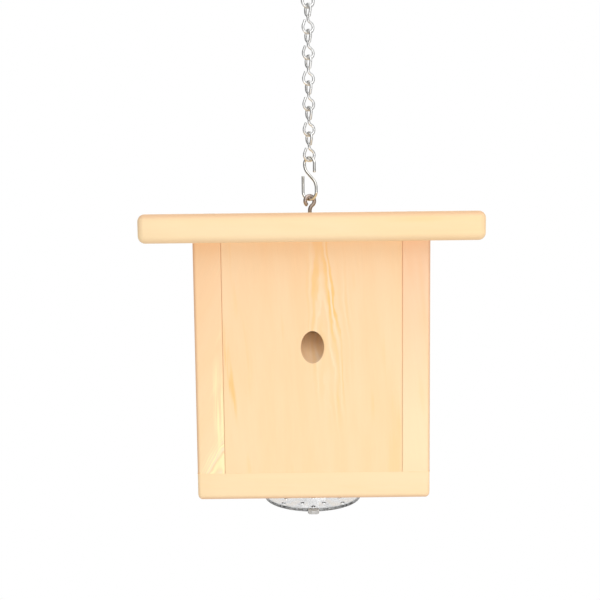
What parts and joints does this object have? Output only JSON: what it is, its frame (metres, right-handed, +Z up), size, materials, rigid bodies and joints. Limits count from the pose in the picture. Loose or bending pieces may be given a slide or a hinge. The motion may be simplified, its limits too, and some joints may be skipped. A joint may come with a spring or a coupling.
{
  "type": "carpenter bee trap",
  "caption": "Hanging pine box trap for carpenter bees: rounded roof board, slanted entrance bores, jack chain on S-hooks, and a clear pull-out catch dish under the base.",
  "frame": {"origin": "the point inside the hanger's upper bend where it bears on a nail or hook", "axes": "+Z up along the chain, front panel towards -Y, +X to the right as seen from the front"},
  "size_m": [0.226, 0.184, 0.3988],
  "materials": {
    "pine": "bare planed pine",
    "chain_zinc": "bright zinc plating",
    "hook_steel": "dull zinc plating",
    "eye_bronze": "darkened zinc",
    "clear_plastic": "clear moulded",
    "collar_plastic": "natural moulded",
    "fastener_steel": "zinc plated"
  },
  "bodies": {
    "hanger": {"hanger": "chain_zinc"},
    "chain_link_1": {"chain_link_1": "chain_zinc"},
    "chain_link_2": {"chain_link_2": "chain_zinc"},
    "chain_link_3": {"chain_link_3": "chain_zinc"},
    "chain_link_4": {"chain_link_4": "chain_zinc"},
    "chain_link_5": {"chain_link_5": "chain_zinc"},
    "chain_link_6": {"chain_link_6": "chain_zinc"},
    "lower_hook": {"lower_hook": "hook_steel"},
    "trap": {"roof_board": "pine", "front_panel": "pine", "back_panel": "pine", "left_side": "pine", "right_side": "pine", "base_board": "pine", "collar": "collar_plastic", "screw_eye": "eye_bronze", "roof_screws": "fastener_steel", "left_nails": "fastener_steel", "right_nails": "fastener_steel", "base_nails": "fastener_steel", "collar_screws": "fastener_steel"},
    "dish": {"catch_dish": "clear_plastic"}
  },
  "joints": [
    {"name": "link_1_swing", "type": "hinge", "parent": "hanger", "child": "chain_link_1", "pos_m": [0, 0, -0.0299], "axis": [0.9063, 0.4226, 0], "range_deg": [-60, 60]},
    {"name": "link_2_swing", "type": "hinge", "parent": "chain_link_1", "child": "chain_link_2", "pos_m": [0, 0, -0.0483], "axis": [-0.9063, -0.4226, 0], "range_deg": [-60, 60]},
    {"name": "link_3_swing", "type": "hinge", "parent": "chain_link_2", "child": "chain_link_3", "pos_m": [0, 0, -0.0646], "axis": [-0.4226, 0.9063, 0], "range_deg": [-60, 60]},
    {"name": "link_4_swing", "type": "hinge", "parent": "chain_link_3", "child": "chain_link_4", "pos_m": [0, 0, -0.0831], "axis": [0.4226, -0.9063, 0], "range_deg": [-60, 60]},
    {"name": "link_5_swing", "type": "hinge", "parent": "chain_link_4", "child": "chain_link_5", "pos_m": [0, 0, -0.1038], "axis": [0.9063, 0.4226, 0], "range_deg": [-60, 60]},
    {"name": "link_6_swing", "type": "hinge", "parent": "chain_link_5", "child": "chain_link_6", "pos_m": [0, 0, -0.1223], "axis": [-0.9063, -0.4226, 0], "range_deg": [-60, 60]},
    {"name": "hook_swing", "type": "hinge", "parent": "chain_link_6", "child": "lower_hook", "pos_m": [0, 0, -0.1385], "axis": [0.8192, -0.5736, 0], "range_deg": [-60, 60]},
    {"name": "trap_swing", "type": "hinge", "parent": "lower_hook", "child": "trap", "pos_m": [0, 0, -0.1695], "axis": [-0.8192, 0.5736, 0], "range_deg": [-50, 50]},
    {"name": "dish_pull", "type": "slide", "parent": "trap", "child": "dish", "axis": [0, 0, -1], "range_m": [0, 0.045]}
  ]
}
